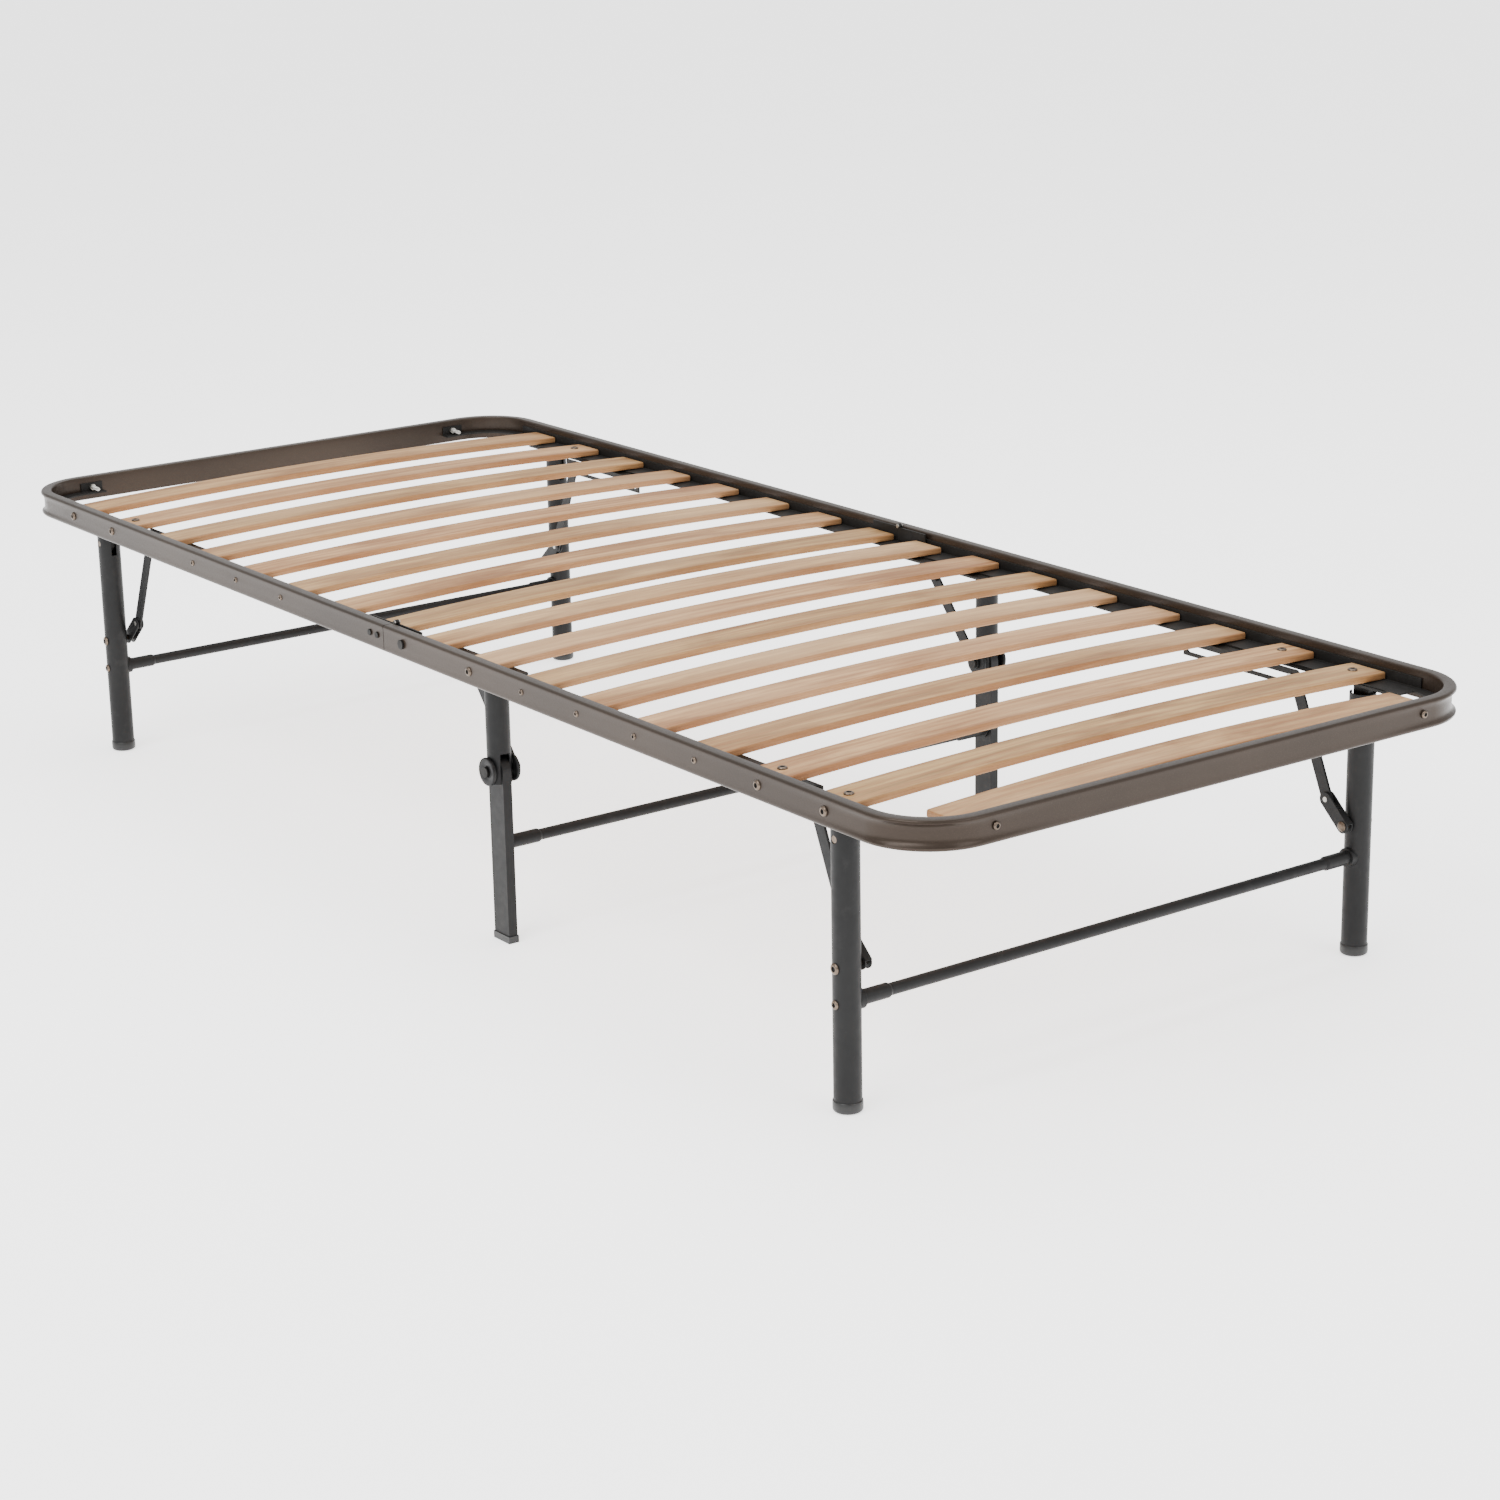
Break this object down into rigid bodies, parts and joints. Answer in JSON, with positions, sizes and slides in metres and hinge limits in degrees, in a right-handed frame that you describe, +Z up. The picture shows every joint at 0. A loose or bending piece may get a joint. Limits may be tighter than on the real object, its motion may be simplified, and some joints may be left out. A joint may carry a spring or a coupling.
{
  "type": "metal bed frame",
  "caption": "Low folding metal bed frame with bowed wooden slats in a rounded rail, folding braced corner legs and folding middle legs.",
  "frame": {"origin": "on the floor under the middle of the bed, at the fold seam", "axes": "+X towards the foot end, +Y across the bed, +Z up"},
  "size_m": [1.9094, 0.7664, 0.3335],
  "materials": {
    "rail_paint": "satin bronze metallic paint",
    "leg_paint": "satin charcoal powder coat",
    "bracket_steel": "dark satin coat",
    "slat_wood": "bare sanded birch",
    "zinc": "bright zinc plate",
    "cap_plastic": "matte moulded"
  },
  "bodies": {
    "foot_frame": {"foot_rail": "rail_paint", "ledge_foot_near": "bracket_steel", "ledge_foot_far": "bracket_steel", "slat_9": "slat_wood", "slat_10": "slat_wood", "slat_11": "slat_wood", "slat_12": "slat_wood", "slat_13": "slat_wood", "slat_14": "slat_wood", "slat_15": "slat_wood", "slat_16": "slat_wood", "slat_17": "slat_wood", "slat_screws_foot": "zinc", "end_bolts_foot": "zinc", "fold_leaves_foot": "bracket_steel", "fold_pins": "zinc", "leg_brackets_foot": "bracket_steel", "middle_brackets": "bracket_steel", "brace_tracks_foot": "bracket_steel", "bracket_bolts_foot": "bracket_steel", "middle_tubes": "leg_paint", "middle_straps": "leg_paint", "middle_strap_pins": "zinc", "pivot_discs": "leg_paint", "middle_pivot_bolts": "bracket_steel"},
    "head_frame": {"head_rail": "rail_paint", "ledge_head_near": "bracket_steel", "ledge_head_far": "bracket_steel", "slat_1": "slat_wood", "slat_2": "slat_wood", "slat_3": "slat_wood", "slat_4": "slat_wood", "slat_5": "slat_wood", "slat_6": "slat_wood", "slat_7": "slat_wood", "slat_8": "slat_wood", "slat_screws_head": "zinc", "end_bolts_head": "zinc", "fold_leaves_head": "bracket_steel", "leg_brackets_head": "bracket_steel", "brace_tracks_head": "bracket_steel", "bracket_bolts_head": "bracket_steel"},
    "head_legs": {"head_leg_near": "leg_paint", "head_leg_far": "leg_paint", "head_crossbar": "leg_paint", "leg_caps_head": "cap_plastic", "head_leg_rivets": "zinc"},
    "foot_legs": {"foot_leg_near": "leg_paint", "foot_leg_far": "leg_paint", "foot_crossbar": "leg_paint", "leg_caps_foot": "cap_plastic", "foot_leg_rivets": "zinc"},
    "head_links": {"brace_links_head": "leg_paint", "elbow_pins_head": "zinc"},
    "foot_links": {"brace_links_foot": "leg_paint", "elbow_pins_foot": "zinc"},
    "head_straps": {"brace_straps_head": "leg_paint", "strap_pins_head": "zinc"},
    "foot_straps": {"brace_straps_foot": "leg_paint", "strap_pins_foot": "zinc"},
    "middle_legs": {"middle_legs": "leg_paint", "middle_crossbar": "leg_paint", "middle_caps": "cap_plastic"}
  },
  "joints": [
    {"name": "frame_fold", "type": "hinge", "parent": "foot_frame", "child": "head_frame", "pos_m": [0, 0, 0.3305], "axis": [0, 1, 0], "range_deg": [0, 180]},
    {"name": "head_leg_fold", "type": "hinge", "parent": "head_frame", "child": "head_legs", "pos_m": [-0.7615, 0, 0.281], "axis": [0, -1, 0], "range_deg": [0, 90]},
    {"name": "head_link_fold", "type": "hinge", "parent": "head_legs", "child": "head_links", "pos_m": [-0.7615, 0, 0.15], "axis": [0, -1, 0], "range_deg": [0, 19.29]},
    {"name": "head_strap_fold", "type": "hinge", "parent": "head_links", "child": "head_straps", "pos_m": [-0.7355, 0, 0.174], "axis": [0, -1, 0], "range_deg": [-175.93, 0]},
    {"name": "foot_leg_fold", "type": "hinge", "parent": "foot_frame", "child": "foot_legs", "pos_m": [0.8055, 0, 0.281], "axis": [0, 1, 0], "range_deg": [0, 90]},
    {"name": "foot_link_fold", "type": "hinge", "parent": "foot_legs", "child": "foot_links", "pos_m": [0.8055, 0, 0.15], "axis": [0, 1, 0], "range_deg": [0, 19.29]},
    {"name": "foot_strap_fold", "type": "hinge", "parent": "foot_links", "child": "foot_straps", "pos_m": [0.7795, 0, 0.174], "axis": [0, 1, 0], "range_deg": [-175.93, 0]},
    {"name": "middle_leg_fold", "type": "hinge", "parent": "foot_frame", "child": "middle_legs", "pos_m": [0.1855, 0, 0.199], "axis": [0, -1, 0], "range_deg": [0, 100]}
  ],
  "couplings": [
    {"joint": "head_link_fold", "follows": "head_leg_fold", "ratio": 0.21434},
    {"joint": "head_strap_fold", "follows": "head_leg_fold", "ratio": -1.9547},
    {"joint": "foot_link_fold", "follows": "foot_leg_fold", "ratio": 0.21434},
    {"joint": "foot_strap_fold", "follows": "foot_leg_fold", "ratio": -1.9547}
  ]
}
